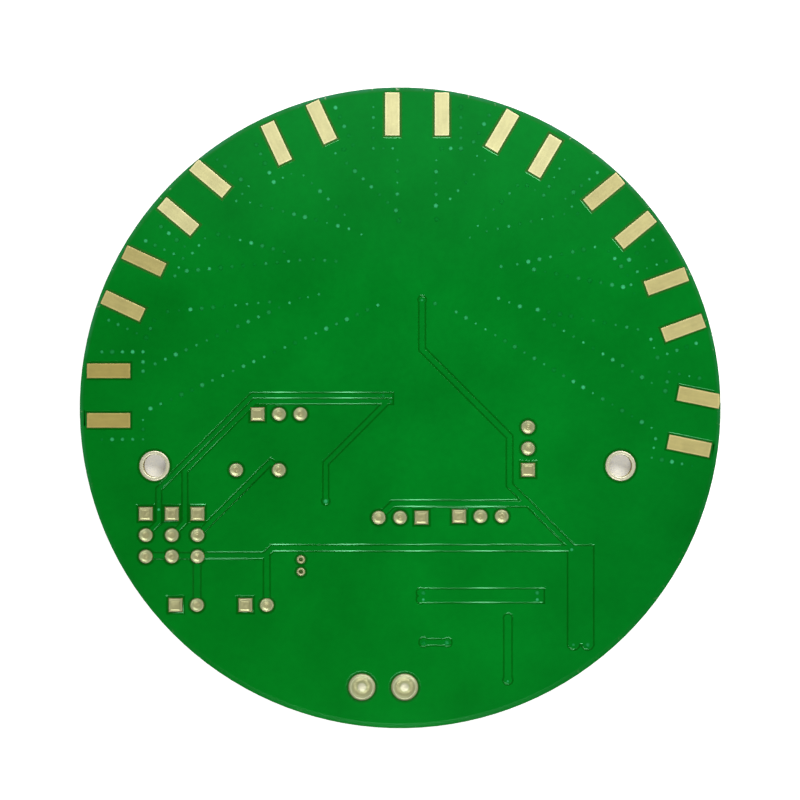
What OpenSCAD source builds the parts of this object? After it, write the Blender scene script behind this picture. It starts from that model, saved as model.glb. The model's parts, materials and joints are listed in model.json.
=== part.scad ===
// Round bare circuit board for a nine-way coaxial switch, in millimetres.
// The board lies flat with its solder side up: +Z is up, and the origin is the centre of its
// underside. Copper, solder mask and solder have their real thickness. Nine pairs of edge pads
// take edge-launch coaxial sockets, whose lines run on the underside to a chip at the hub.

/* [Board] */
// Diameter of the board
board_d = 76.2; // [75:0.1:95]
// Thickness of the board over both solder masks
board_t = 1.6; // [1.2:0.1:3.2]
// Thickness of the finished copper on each side
copper_t = 0.05; // [0.035:0.005:0.07]
// Thickness of the solder mask where it covers copper
mask_t = 0.025; // [0.02:0.005:0.04]
// Bare strip between the edge of the ground copper and the rim
pour_margin = 0.55; // [0.4:0.05:0.8]
// Gap by which a mask opening clears the copper inside it
mask_margin = 0.08; // [0.06:0.01:0.12]
// Depth by which the mask sinks over a gap in the copper
mask_dip = 0.03; // [0.01:0.005:0.04]

/* [Edge launches] */
// Length of an edge pad, towards the board's middle
pad_l = 5.1; // [4:0.1:6.5]
// Width of an edge pad
pad_w = 1.7; // [1.4:0.01:2.3]
// Distance between the centre lines of a pair of edge pads
pad_spacing = 5.9; // [5.5:0.05:7]
// Gap between an edge pad and the ground copper
pad_gap = 0.32; // [0.25:0.01:0.4]
// Width of a coaxial line on the underside
line_w = 1.2; // [0.9:0.05:1.4]
// Gap between a coaxial line and the ground copper
line_gap = 0.3; // [0.2:0.01:0.35]

/* [Vias] */
// Diameter of a via's hole
via_hole_d = 0.3; // [0.2:0.01:0.35]
// Thickness of the copper plated on the wall of every hole
plating_t = 0.03; // [0.02:0.005:0.04]
// Spacing of the vias in a fence
fence_pitch = 1.35; // [1.1:0.05:2]
// Distance from a coaxial line's centre to the fence beside it
fence_offset = 2.3; // [2.1:0.05:2.6]

/* [Tracks] */
// Width of the supply tracks
supply_w = 0.52; // [0.4:0.01:0.6]
// Width of the control tracks
control_w = 0.42; // [0.3:0.01:0.44]
// Gap between a track and the ground copper
track_gap = 0.26; // [0.2:0.01:0.3]

/* [Lands] */
// Spacing of the header holes
pitch = 2.54; // [2.5:0.02:2.6]
// Width of a header land
land_d = 1.6; // [1.56:0.02:1.8]
// Diameter of a header hole inside its plating
hole_d = 1; // [0.8:0.05:1.1]
// Gap between a land and the ground copper
land_gap = 0.35; // [0.25:0.01:0.36]
// Height of the solder above a header land
solder_rise = 0.2; // [0.1:0.01:0.3]
// Diameter of a power land
power_land_d = 3.15; // [2.8:0.05:3.8]
// Diameter of a power hole inside its plating
power_hole_d = 1.3; // [1:0.05:1.6]
// Diameter of a small component land
small_land_d = 0.96; // [0.92:0.02:1.2]
// Diameter of a small component hole inside its plating
small_hole_d = 0.45; // [0.4:0.05:0.6]
// Distance between the small component lands
small_pitch = 1.45; // [1.4:0.05:1.9]

/* [Mounting holes] */
// Distance between the two mounting holes
mount_span = 55.4; // [54.5:0.1:56]
// Diameter of a mounting hole inside its plating
mount_hole_d = 2.7; // [2.5:0.05:3.2]
// Diameter of the land round a mounting hole
mount_land_d = 3.55; // [3.5:0.05:4.2]

/* [Chip lands] */
// Width of the chip's square body
chip_w = 4; // [3.8:0.1:4.4]
// Spacing of the chip's lands
chip_pitch = 0.5; // [0.45:0.01:0.55]

/* [Hidden] */
$fn = 96;
eps = 0.01;

board_r = board_d / 2;
pour_r = board_r - pour_margin;
core_z = mask_t + copper_t;
core_t = board_t - 2 * core_z;
front_z = core_z + core_t;
plated_t = board_t - 2 * mask_t;
via_r = via_hole_d / 2 + plating_t;

// Colours
core_colour = [0.78, 0.72, 0.45];
mask_colour = [0.01, 0.5, 0.13];
copper_colour = [0.8, 0.45, 0.25];
gold_colour = [0.85, 0.82, 0.58];
solder_colour = [0.72, 0.74, 0.62];

// ---------- Plane geometry ----------

function along(angle) = [cos(angle), sin(angle)];
function left_of(v) = [-v.y, v.x];
function unit(v) = v / norm(v);
function distance_to(p, a, b) =
    let (t = max(0, min(1, (p - a) * (b - a) / ((b - a) * (b - a)))))
    norm(p - a - t * (b - a));

// Outline of a track of width w along the points of path, with mitred corners.
function edge_point(path, i, offset) =
    let (
        tail = len(path) - 1,
        before = left_of(unit(path[max(i, 1)] - path[max(i, 1) - 1])),
        after = left_of(unit(path[min(i, tail - 1) + 1] - path[min(i, tail - 1)]))
    )
    path[i] + offset * (before + after) / (1 + before * after);
function ribbon(path, w) = concat(
    [for (i = [0:len(path) - 1]) edge_point(path, i, -w / 2)],
    [for (i = [len(path) - 1:-1:0]) edge_point(path, i, w / 2)]
);
// The same path with both of its ends drawn out.
function stretched(path, by) =
    let (tail = len(path) - 1)
    [for (i = [0:tail])
        path[i]
        + (i == 0 ? by * unit(path[0] - path[1]) : [0, 0])
        + (i == tail ? by * unit(path[tail] - path[tail - 1]) : [0, 0])];

module track(path, w, grow = 0) {
    polygon(ribbon(stretched(path, grow), w + 2 * grow));
}
module dot(p, r, grow = 0) {
    translate(p) circle(r = r + grow);
}

// ---------- Edge launches, lines and via fences ----------

// Each launch: its bearing from the board's centre, the heading of its axis, and how far the
// middle of its pads lies inside the rim.
launches = [
    [177.6, 180, 3.4], [155, 155, 3.1], [134.4, 140, 3.1],
    [110.2, 115, 3.2], [86.7, 90, 3.1], [65, 59.5, 3.4],
    [41.9, 39.5, 3], [20.6, 20, 3.2], [-2.7, -11.5, 3.1]
];
last = len(launches) - 1;
hub = [2.15, 16.6];
chip_r = chip_w / 2;
chip_land_w = 0.28;
chip_land_l = 0.6;
chip_land_inset = 0.25;
// The chip's side, and the place on it, where each line ends: 0 left, 1 top, 2 right.
line_sides = [0, 0, 0, 1, 1, 1, 2, 2, 2];
line_places = [-1.5, -0.5, 1.5, -2.5, -0.5, 2.5, 1.5, -0.5, -2.5];
bend_depth = 2.8;
neck_l = 3.5;
neck_w = 0.3;
flank_offset = 5.2;
flank_start = -0.8;
flank_end = 4.1;
end_inset = 1.2;
end_pitch = 1.1;
line_clear = 1.66;
via_clear = 0.95;
rim_clear = 1.2;
pad_rim_clear = 0.1;
hub_clear = 5.6;
merged_half_gap = 1.75;

function launch_point(i, inward, sideways) =
    let (heading = along(launches[i][1]))
    (board_r - launches[i][2]) * along(launches[i][0])
    - inward * heading + sideways * left_of(heading);
function chip_land(side, place) =
    let (out = chip_r + chip_land_l / 2 - chip_land_inset, across = place * chip_pitch)
    hub + (side == 0 ? [-out, across] : side == 1 ? [across, out]
        : side == 2 ? [out, across] : [across, -out]);
function line_end(i) =
    let (out = side_heading(line_sides[i]) * chip_land_l / 2)
    chip_land(line_sides[i], line_places[i]) + out;
function side_heading(side) =
    side == 0 ? [-1, 0] : side == 1 ? [0, 1] : side == 2 ? [1, 0] : [0, -1];
function line_bend(i) = launch_point(i, bend_depth, 0);
function line_way(i) = unit(line_end(i) - line_bend(i));
function neck_start(i) = line_end(i) - neck_l * line_way(i);
function line_clearance(p, i) = min(
    distance_to(p, launch_point(i, -pad_l / 2, 0), line_bend(i)),
    distance_to(p, line_bend(i), line_end(i))
);

// One side of a line's fence: beside its edge pad, across the pad's inner end, and then along
// the line until the hub.
function flank_vias(i, side) = [
    for (u = [flank_start:(flank_end - flank_start) / 4:flank_end])
        launch_point(i, u, side * flank_offset)
];
function end_vias(i, side) = [
    for (v = [flank_offset - end_inset:-end_pitch:fence_offset])
        launch_point(i, flank_end, side * v)
];
function row_vias(i, side) =
    let (reach = norm(line_end(i) - line_bend(i)) + chip_r - hub_clear)
    [for (t = [fence_pitch:fence_pitch:reach])
        line_bend(i) + t * line_way(i) + side * fence_offset * left_of(line_way(i))];
// Where two lines come too close for a fence each, one row runs midway between them.
function merged_vias(i) =
    let (
        a = unit(line_bend(i) - hub),
        b = unit(line_bend(i + 1) - hub),
        middle = unit(a + b),
        spread = sqrt(1 - (a * middle) * (a * middle))
    )
    [for (r = [merged_half_gap / spread:fence_pitch:fence_offset / spread])
        if (r > hub_clear) hub + r * middle];
fence_candidates = concat(
    [for (i = [0:last]) for (side = [-1, 1]) each concat(flank_vias(i, side), end_vias(i, side))],
    [for (i = [0:last - 1]) each merged_vias(i)],
    [for (i = [0:last]) for (side = [-1, 1]) each row_vias(i, side)]
);
function clear_of_lines(p) = min([for (i = [0:last]) line_clearance(p, i)]) > line_clear;
function clear_of_vias(p, count) =
    count == 0 || min([for (j = [0:count - 1]) norm(p - fence_candidates[j])]) > via_clear;
function on_board(p) = norm(p) < board_r - rim_clear;
module launch_pad(i, side, grow = 0) {
    middle = launch_point(i, 0, side * pad_spacing / 2);
    translate(middle) rotate(launches[i][1])
        square([pad_l + 2 * grow, pad_w + 2 * grow], center = true);
}
module all_launch_pads(grow = 0) {
    for (i = [0:last]) for (side = [-1, 1]) launch_pad(i, side, grow);
}
module line_shape(i, grow = 0) {
    start = launch_point(i, -pad_l / 2, 0);
    track([start, line_bend(i), neck_start(i)], line_w, grow);
    track([neck_start(i) - line_way(i) * neck_w, line_end(i)], neck_w, grow);
}
// The line's own pad, free of mask, under the centre pin of its socket.
module line_pad(i, grow = 0) {
    translate(launch_point(i, 0, 0)) rotate(launches[i][1])
        square([pad_l + 2 * grow, line_w + 2 * grow], center = true);
}
module chip_land_shapes(grow = 0) {
    for (side = [0:3]) for (place = [-2.5:1:2.5])
        translate(chip_land(side, place)) rotate(side % 2 == 0 ? 0 : 90)
            square([chip_land_l + 2 * grow, chip_land_w + 2 * grow], center = true);
}
module chip_ground_shape(grow = 0) {
    w = chip_w - 1.5 + 2 * grow;
    translate(hub) square([w, w], center = true);
}

// ---------- Lands ----------

// Each header: the place of its first hole, the step to the next, how many holes it has, and
// which one has the square land.
header_a = [[-16.95, -0.75], [pitch, 0], 3, 0];
header_b = [[-19.5, -7.4], [2 * pitch, 0], 2, -1];
header_c = [[15.2, -2.3], [0, -pitch], 3, 2];
header_d = [[-2.55, -13.05], [pitch, 0], 3, 2];
header_e = [[7, -12.9], [pitch, 0], 3, 0];
header_f = [[-30.25, -12.6], [0, -pitch], 3, 0];
header_g = [[-27.15, -12.6], [0, -pitch], 3, 0];
header_h = [[-24.1, -12.6], [0, -pitch], 3, 0];
header_j = [[-26.7, -23.45], [pitch, 0], 2, 0];
header_k = [[-18.4, -23.45], [pitch, 0], 2, 0];
headers = [header_a, header_b, header_c, header_d, header_e,
    header_f, header_g, header_h, header_j, header_k];
function header_hole(h, k) = h[0] + k * h[1];
power_places = [[-4.55, -33.2], [-4.55 + 2 * pitch, -33.2]];
small_places = [[-11.8, -18.04], [-11.8, -18.04 - small_pitch]];
mount_y = -6.9;
mount_x = -1.5;
mount_places = [[mount_x - mount_span / 2, mount_y], [mount_x + mount_span / 2, mount_y]];

module header_land(h, k, grow = 0) {
    w = land_d + 2 * grow;
    translate(header_hole(h, k))
        if (k == h[3]) square([w, w], center = true);
        else circle(d = w);
}
module header_lands(h, grow = 0) {
    for (k = [0:h[2] - 1]) header_land(h, k, grow);
}
module all_lands(grow = 0) {
    for (h = headers) header_lands(h, grow);
    for (p = power_places) dot(p, power_land_d / 2, grow);
    for (p = small_places) dot(p, small_land_d / 2, grow);
    for (p = mount_places) dot(p, mount_land_d / 2, grow);
}
module drilled(extra = 0) {
    for (h = headers) for (k = [0:h[2] - 1]) dot(header_hole(h, k), hole_d / 2, extra);
    for (p = power_places) dot(p, power_hole_d / 2, extra);
    for (p = small_places) dot(p, small_hole_d / 2, extra);
    for (p = mount_places) dot(p, mount_hole_d / 2, extra);
}

// ---------- Tracks on the solder side ----------

bus_y = -16.72;
bus_low_y = -17.6;
return_y = -11.42;
control_a_path = [[-0.95, 0.75], [-17.3, 0.75], [-25.6, -7.55], [-25.6, -13.6],
    header_hole(header_g, 1)];
control_b_path = [[-0.95, 1.42], [-17.6, 1.42], [-28.7, -9.68], [-28.7, -13.6],
    header_hole(header_f, 1)];
branch_path = [[-1.5, 0.75], [-8.85, -6.6], [-8.85, -11.1]];
sense_path = [header_hole(header_h, 1), [-15.4, -6.44], header_hole(header_b, 1)];
drop_path = [[2.6, 12.8], [2.6, 6.95], [13, -3.45], [13, -9.2], [20.4, -16.6]];
bus_path = [[-30.25, bus_low_y], [-16.1, bus_low_y], [-15.2, bus_y], [20.4, bus_y]];
return_path = [header_hole(header_d, 0), [-0.85, return_y], [15, return_y]];
left_leg = [[-24.15, bus_low_y], [-24.15, -23.45]];
right_leg = [[-15.87, bus_low_y], [-15.87, -23.45]];
slot_path = [[12.8, -25], [12.8, -32.35]];
link_path = [[2.8, -27.9], [5.9, -27.9]];
heater_path = [[2.3, -22.37], [17, -22.37]];
heater_w = 1.45;
feed_path = [[21.45, -16.5], [21.45, -28]];
feed_w = 2.85;
via_land_r = 0.36;
signal_via_places = [
    drop_path[0], branch_path[2], [-1.15, 0.75], [-2, 1.42], [-28.7, -11.12], [-28.7, -12.1],
    [2.75, -21.98], [2.75, -22.8], [16.3, -21.98], [16.3, -22.8],
    [20.6, -28.15], [22.3, -28.15], [20.4, -16.85], [12.8, -32.5], [2.8, -27.9], [5.55, -27.9]
];
// Each net: its runs with their widths, and the round ends that widen it.
supply_net = [
    [
        [drop_path, supply_w], [bus_path, supply_w], [return_path, supply_w],
        [left_leg, supply_w + 0.12], [right_leg, supply_w], [feed_path, feed_w]
    ],
    [[drop_path[0], via_land_r], [[20.62, -28.05], 0.62], [[22.28, -28.05], 0.62]]
];
control_a_net = [[[control_a_path, control_w], [branch_path, control_w]],
    [[branch_path[2], via_land_r]]];
control_b_net = [[[control_b_path, control_w]], []];
sense_net = [[[sense_path, control_w]], []];
heater_net = [[[heater_path, heater_w]], [[[2.45, -21.98], 0.4], [[2.45, -22.78], 0.4]]];
slot_net = [[[slot_path, supply_w + 0.2]], [[slot_path[0], 0.4], [slot_path[1], 0.46]]];
link_net = [[[link_path, supply_w]], [[link_path[0], 0.44], [[5.6, -27.9], 0.4]]];
nets = [supply_net, control_a_net, control_b_net, sense_net, heater_net, slot_net, link_net];

module net_shape(net, grow = 0) {
    for (run = net[0]) track(run[0], run[1], grow);
    for (end = net[1]) dot(end[0], end[1], grow);
}
module track_shapes(grow = 0) {
    for (net = nets) net_shape(net, grow);
}

// ---------- Ground vias ----------

// A fence via is left out where it would break a land, a pad or a track.
land_reach = land_d * 0.6;
function box_distance(p, w, h) = norm([max(0, abs(p.x) - w / 2), max(0, abs(p.y) - h / 2)]);
function turned(p, angle) = [p * along(angle), p * left_of(along(angle))];
function pad_distance(p) = min([
    for (i = [0:last]) for (side = [-1, 1])
        let (middle = launch_point(i, 0, side * pad_spacing / 2))
        box_distance(turned(p - middle, launches[i][1]), pad_l, pad_w)
]);
function land_distance(p) = min(concat(
    [for (h = headers) for (k = [0:h[2] - 1]) norm(p - header_hole(h, k)) - land_reach],
    [for (q = power_places) norm(p - q) - power_land_d / 2],
    [for (q = small_places) norm(p - q) - small_land_d / 2],
    [for (q = mount_places) norm(p - q) - mount_land_d / 2],
    [for (q = signal_via_places) norm(p - q) - via_land_r]
));
function track_distance(p) = min([
    for (net = nets) for (run = net[0]) for (k = [0:len(run[0]) - 2])
        distance_to(p, run[0][k], run[0][k + 1]) - run[1] / 2
]);
via_spare = 0.15;
via_keep_out = via_r + via_spare;
fence_vias = [
    for (k = [0:len(fence_candidates) - 1])
        let (p = fence_candidates[k])
        if (on_board(p) && clear_of_lines(p) && clear_of_vias(p, k)
            && pad_distance(p) > pad_gap + via_keep_out
            && land_distance(p) > land_gap + via_keep_out
            && track_distance(p) > track_gap + via_keep_out)
            p
];
ground_via_places = concat(fence_vias, [[4.15, 12.4]]);

// ---------- Copper ----------

module front_clearances(inset = 0) {
    track_shapes(track_gap - inset);
    all_lands(land_gap - inset);
    all_launch_pads(pad_gap - inset);
}
module back_clearances(inset = 0) {
    for (i = [0:last]) line_shape(i, line_gap - inset);
    all_lands(land_gap - inset);
    all_launch_pads(pad_gap - inset);
    for (p = signal_via_places) dot(p, via_land_r, track_gap - inset);
    chip_land_shapes(track_gap / 2 - inset);
    chip_ground_shape(track_gap - inset);
}
module via_dots(r) {
    for (p = ground_via_places) dot(p, r);
}
module front_ground() {
    color(copper_colour) translate([0, 0, front_z]) linear_extrude(copper_t)
        difference() {
            circle(pour_r);
            front_clearances();
            via_dots(via_r);
        }
}
module back_ground() {
    color(copper_colour) translate([0, 0, mask_t]) linear_extrude(copper_t)
        difference() {
            circle(pour_r);
            back_clearances();
            via_dots(via_r);
        }
}
// A track meets the lands it joins face to face, and has a hole at each of its vias.
module front_track(net) {
    color(copper_colour) translate([0, 0, front_z]) linear_extrude(copper_t)
        difference() {
            net_shape(net);
            all_lands();
            for (p = signal_via_places) dot(p, via_r);
        }
}

// Edge pads stop just short of the rim where they run out over it.
module trimmed_pads(i) {
    intersection() {
        for (side = [-1, 1]) launch_pad(i, side);
        circle(board_r - pad_rim_clear);
    }
}
module launch_pads(i) {
    color(gold_colour) translate([0, 0, front_z]) linear_extrude(copper_t) trimmed_pads(i);
}
module back_launch_pads() {
    color(gold_colour) translate([0, 0, mask_t]) linear_extrude(copper_t)
        for (i = [0:last]) trimmed_pads(i);
}
module line(i) {
    color(gold_colour) translate([0, 0, mask_t]) linear_extrude(copper_t) line_shape(i);
}
module chip_lands() {
    color(gold_colour) translate([0, 0, mask_t]) linear_extrude(copper_t)
        difference() {
            chip_land_shapes();
            for (i = [0:last]) line_shape(i);
        }
}
module chip_ground_land() {
    color(gold_colour) translate([0, 0, mask_t]) linear_extrude(copper_t) chip_ground_shape();
}

// ---------- Laminate and masks ----------

module laminate() {
    color(core_colour) translate([0, 0, core_z]) linear_extrude(core_t)
        difference() {
            circle(board_r);
            drilled(plating_t);
            for (p = signal_via_places) dot(p, via_r);
            via_dots(via_r);
        }
}
// A mask lies over the copper of one side, fills the gaps in it, and sinks a little over them.
shoulder = 0.03;
module mask_coat() {
    top = copper_t + mask_t;
    difference() {
        linear_extrude(top) difference() {
            circle(board_r);
            children(0);
        }
        translate([0, 0, -eps]) linear_extrude(copper_t + eps) children(1);
        translate([0, 0, top - mask_dip]) linear_extrude(mask_dip + eps) difference() {
            circle(2 * board_r);
            circle(pour_r + shoulder);
        }
        translate([0, 0, top - mask_dip]) linear_extrude(mask_dip + eps) children(2);
    }
}
module front_openings() {
    all_lands(mask_margin);
    all_launch_pads(mask_margin);
}
module back_openings() {
    all_lands(mask_margin);
    all_launch_pads(mask_margin);
    for (i = [0:last]) line_pad(i, mask_margin);
    chip_land_shapes(mask_margin / 2);
    chip_ground_shape(mask_margin);
}
module front_mask() {
    color(mask_colour) translate([0, 0, front_z]) mask_coat() {
        union() front_openings();
        union() {
            difference() {
                circle(pour_r);
                front_clearances();
            }
            track_shapes();
        }
        difference() {
            front_clearances(shoulder);
            track_shapes(shoulder);
            all_lands(mask_margin);
            all_launch_pads(mask_margin);
        }
    }
}
module back_mask() {
    color(mask_colour) translate([0, 0, core_z]) mirror([0, 0, 1]) mask_coat() {
        union() back_openings();
        union() {
            difference() {
                circle(pour_r);
                back_clearances();
            }
            for (i = [0:last]) line_shape(i);
            for (p = signal_via_places) dot(p, via_land_r);
        }
        difference() {
            back_clearances(shoulder);
            for (i = [0:last]) line_shape(i, shoulder);
            for (p = signal_via_places) dot(p, via_land_r, shoulder);
            back_openings();
        }
    }
}

// ---------- Plated holes ----------

module plated_lands(h) {
    color(gold_colour) translate([0, 0, mask_t])
        for (k = [0:h[2] - 1]) difference() {
            union() {
                linear_extrude(copper_t) header_land(h, k);
                translate([0, 0, plated_t - copper_t]) linear_extrude(copper_t) header_land(h, k);
                translate(header_hole(h, k)) cylinder(d = hole_d + 2 * plating_t, h = plated_t);
            }
            translate(header_hole(h, k)) translate([0, 0, -eps])
                cylinder(d = hole_d, h = plated_t + 2 * eps);
        }
}
module plated_rings(places, hole, land) {
    color(gold_colour) for (p = places) translate([p.x, p.y, mask_t]) rotate_extrude() {
        translate([hole / 2, 0]) square([plating_t, plated_t]);
        translate([hole / 2, 0]) square([(land - hole) / 2, copper_t]);
        translate([hole / 2, plated_t - copper_t]) square([(land - hole) / 2, copper_t]);
    }
}
module ground_vias() {
    color(copper_colour) translate([0, 0, mask_t]) linear_extrude(plated_t)
        difference() {
            via_dots(via_r);
            via_dots(via_hole_d / 2);
        }
}
module signal_vias() {
    color(copper_colour) for (p = signal_via_places) translate([p.x, p.y, mask_t])
        rotate_extrude() {
            translate([via_hole_d / 2, 0]) square([plating_t, plated_t]);
            translate([via_hole_d / 2, 0]) square([via_land_r - via_hole_d / 2, copper_t]);
        }
}

// ---------- Solder ----------

solder_z = board_t - mask_t;
coat_rise = 0.12;
power_skirt = 0.4;
power_moat = 0.15;
// Half of the section of a low dome of the given radius and rise.
module dome_section(radius, rise) {
    ball = (radius * radius + rise * rise) / (2 * rise);
    intersection() {
        translate([0, rise - ball]) circle(ball);
        square([radius, rise]);
    }
}
// The section of a low bead that stands on a ring between two radii.
module bead_section(inner, outer, rise) {
    half = (outer - inner) / 2;
    ball = (half * half + rise * rise) / (2 * rise);
    intersection() {
        translate([inner + half, rise - ball]) circle(ball);
        translate([inner, 0]) square([2 * half, rise]);
    }
}
module hole_fill(hole) {
    translate([0, 0, -plated_t]) cylinder(d = hole, h = plated_t + eps);
}
// Solder on a round land: a low dome with a dish over the hole.
module round_cap() {
    dish_r = hole_d * 0.4;
    dish_depth = solder_rise * 0.3;
    ball = (dish_r * dish_r + dish_depth * dish_depth) / (2 * dish_depth);
    difference() {
        rotate_extrude() dome_section(land_d / 2, solder_rise);
        translate([0, 0, solder_rise - dish_depth + ball]) sphere(ball);
    }
}
// Solder on a square land: a pillow, where two arches cross.
module arch() {
    translate([-land_d / 2, 0, 0]) rotate([90, 0, 90]) linear_extrude(land_d) {
        dome_section(land_d / 2, solder_rise);
        mirror([1, 0]) dome_section(land_d / 2, solder_rise);
    }
}
module square_cap() {
    intersection() {
        arch();
        rotate(90) arch();
    }
}
module header_solder(square_ones) {
    color(solder_colour) for (h = headers) for (k = [0:h[2] - 1])
        if ((k == h[3]) == square_ones) translate(header_hole(h, k)) translate([0, 0, solder_z]) {
            hole_fill(hole_d);
            if (square_ones) square_cap();
            else round_cap();
        }
}
module power_solder() {
    color(solder_colour) for (p = power_places) translate([p.x, p.y, solder_z]) {
        hole_fill(power_hole_d);
        rotate_extrude() {
            dome_section(power_hole_d / 2, solder_rise * 0.7);
            square([power_land_d / 2 - power_skirt, solder_rise * 0.3]);
            bead_section(power_hole_d / 2 + power_moat, power_land_d / 2, solder_rise * 1.1);
        }
    }
}
module ring_solder(places, hole, land) {
    color(solder_colour) for (p = places) translate([p.x, p.y, solder_z])
        rotate_extrude() bead_section(hole / 2, land / 2, coat_rise);
}

laminate();
front_mask();
back_mask();
front_ground();
back_ground();
for (i = [0:last]) {
    launch_pads(i);
    line(i);
}
back_launch_pads();
chip_lands();
chip_ground_land();
front_track(supply_net);  // supply_track
front_track(control_a_net);  // control_track_a
front_track(control_b_net);  // control_track_b
front_track(sense_net);  // sense_track
front_track(heater_net);  // heater_track
front_track(slot_net);  // slot_track
front_track(link_net);  // link_track
plated_lands(header_a);  // header_a_lands
plated_lands(header_b);  // header_b_lands
plated_lands(header_c);  // header_c_lands
plated_lands(header_d);  // header_d_lands
plated_lands(header_e);  // header_e_lands
plated_lands(header_f);  // header_f_lands
plated_lands(header_g);  // header_g_lands
plated_lands(header_h);  // header_h_lands
plated_lands(header_j);  // header_j_lands
plated_lands(header_k);  // header_k_lands
plated_rings(power_places, power_hole_d, power_land_d);  // power_lands
plated_rings(small_places, small_hole_d, small_land_d);  // small_lands
plated_rings(mount_places, mount_hole_d, mount_land_d);  // mounting_lands
ground_vias();
signal_vias();
header_solder(false);  // round_solder
header_solder(true);  // square_solder
power_solder();
ring_solder(small_places, small_hole_d, small_land_d);  // small_solder
ring_solder(mount_places, mount_hole_d, mount_land_d);  // mounting_solder
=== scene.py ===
# %% [markdown]
# # A round bare circuit board
# The real object is a disc of glass-fibre laminate with copper on both sides, covered by a
# glossy green solder mask that is open over the lands and edge pads. The CAD frame holds every
# piece at its true size. This lesson keeps those pieces, gives them finishes, and remakes the
# ones whose soft edges the CAD model leaves plain: both masks, the pads and the solder.

# %% Load the frame
import json
import math
import bpy
import bmesh
import numpy as np
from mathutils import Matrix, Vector
from mathutils.geometry import delaunay_2d_cdt


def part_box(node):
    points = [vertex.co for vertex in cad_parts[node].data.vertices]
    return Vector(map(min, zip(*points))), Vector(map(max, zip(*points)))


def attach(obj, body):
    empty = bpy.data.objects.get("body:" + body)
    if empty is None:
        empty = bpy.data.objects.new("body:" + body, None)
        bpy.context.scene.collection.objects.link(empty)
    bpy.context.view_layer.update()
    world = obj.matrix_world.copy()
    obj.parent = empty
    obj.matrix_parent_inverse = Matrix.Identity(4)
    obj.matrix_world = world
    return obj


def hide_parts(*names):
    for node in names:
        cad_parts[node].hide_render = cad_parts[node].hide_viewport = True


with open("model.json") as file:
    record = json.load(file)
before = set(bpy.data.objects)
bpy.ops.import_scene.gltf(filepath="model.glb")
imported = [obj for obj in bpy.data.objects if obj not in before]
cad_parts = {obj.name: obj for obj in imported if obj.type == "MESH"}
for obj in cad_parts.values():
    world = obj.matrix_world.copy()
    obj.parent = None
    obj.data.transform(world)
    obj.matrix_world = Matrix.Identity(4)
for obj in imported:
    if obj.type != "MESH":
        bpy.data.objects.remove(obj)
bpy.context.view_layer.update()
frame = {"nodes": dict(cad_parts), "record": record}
MM = 0.001
nodes = frame["nodes"]
board_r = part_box("laminate")[1][0]
mask_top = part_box("front_mask")[1][2]
copper_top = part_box("front_ground")[1][2]
print("board radius %.2f mm, mask top %.3f mm" % (board_r / MM, mask_top / MM))

# %% [markdown]
# ## Camera
# The board lies flat and is seen from straight above, so the camera looks down with its top
# towards +Y. A long lens keeps the perspective slight, as in product work. Its focal length
# follows from how wide a strip of the floor the picture has to hold.

# %% Camera
VIEW_WIDTH = 95.1 * MM
CAMERA_RISE = 330 * MM
CAMERA_X = -0.02 * MM
CAMERA_Y = 0.93 * MM
SENSOR_WIDTH = 36
camera_data = bpy.data.cameras.new("camera")
camera_data.sensor_width = SENSOR_WIDTH
camera_data.lens = SENSOR_WIDTH * CAMERA_RISE / VIEW_WIDTH
camera_data.clip_start = 10 * MM
camera = bpy.data.objects.new("camera", camera_data)
camera.location = (CAMERA_X, CAMERA_Y, mask_top + CAMERA_RISE)
bpy.context.scene.collection.objects.link(camera)
bpy.context.scene.camera = camera
bpy.context.scene.view_settings.view_transform = "Standard"
print("lens %.0f mm" % camera_data.lens)

# %% [markdown]
# ## Finishes
# Every finish is a small node tree on Object coordinates, which are metres here, so each
# texture scale is in repeats per metre. Wiring nodes by hand is long-winded, so a few helpers
# do it: add makes one node from a short description, and the others are built on it.

# %% Node helpers
def new_finish(name):
    mat = bpy.data.materials.new(name)
    mat.use_nodes = True
    tree = mat.node_tree
    return mat, tree, tree.nodes["Principled BSDF"]


def add(tree, kind, inputs=None, **settings):
    node = tree.nodes.new(kind)
    for key, value in settings.items():
        setattr(node, key, value)
    for key, value in (inputs or {}).items():
        socket = node.inputs[key]
        if isinstance(value, bpy.types.NodeSocket):
            tree.links.new(value, socket)
        else:
            socket.default_value = value
    return node


def object_coords(tree):
    return add(tree, "ShaderNodeTexCoord").outputs["Object"]


def attribute(tree, name):
    return add(tree, "ShaderNodeAttribute", attribute_name=name).outputs["Fac"]


def maths(tree, operation, *values):
    inputs = dict(enumerate(values))
    return add(tree, "ShaderNodeMath", inputs, operation=operation).outputs[0]


def span(tree, value, low, high, to_low, to_high):
    """Carries the range low..high over to the range to_low..to_high, and stops at its ends."""
    return add(tree, "ShaderNodeMapRange", {
        "Value": value, "From Min": low, "From Max": high,
        "To Min": to_low, "To Max": to_high}).outputs["Result"]


def from_middle(tree, place):
    """How far a place is from the middle of the board, seen from above."""
    flat = add(tree, "ShaderNodeCombineXYZ", {"X": place.outputs["X"], "Y": place.outputs["Y"]})
    return add(tree, "ShaderNodeVectorMath", {0: flat.outputs[0]},
               operation="LENGTH").outputs["Value"]


print("node helpers ready")

# %% [markdown]
# ### Colour helpers
# Colours vary slowly over every real surface. A cloud of noise picks a colour from a ramp, two
# colours are blended by a factor, and one colour is tinted by another to darken or warm it.
# Noise seldom leaves the range from 0.3 to 0.7, so ramps and spans are stretched over that.

# %% Colour helpers
NOISE_LOW = 0.3
NOISE_HIGH = 0.7


def cloud(tree, coords, scale, detail, roughness):
    return add(tree, "ShaderNodeTexNoise", {
        "Vector": coords, "Scale": scale, "Detail": detail,
        "Roughness": roughness}).outputs["Fac"]


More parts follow.
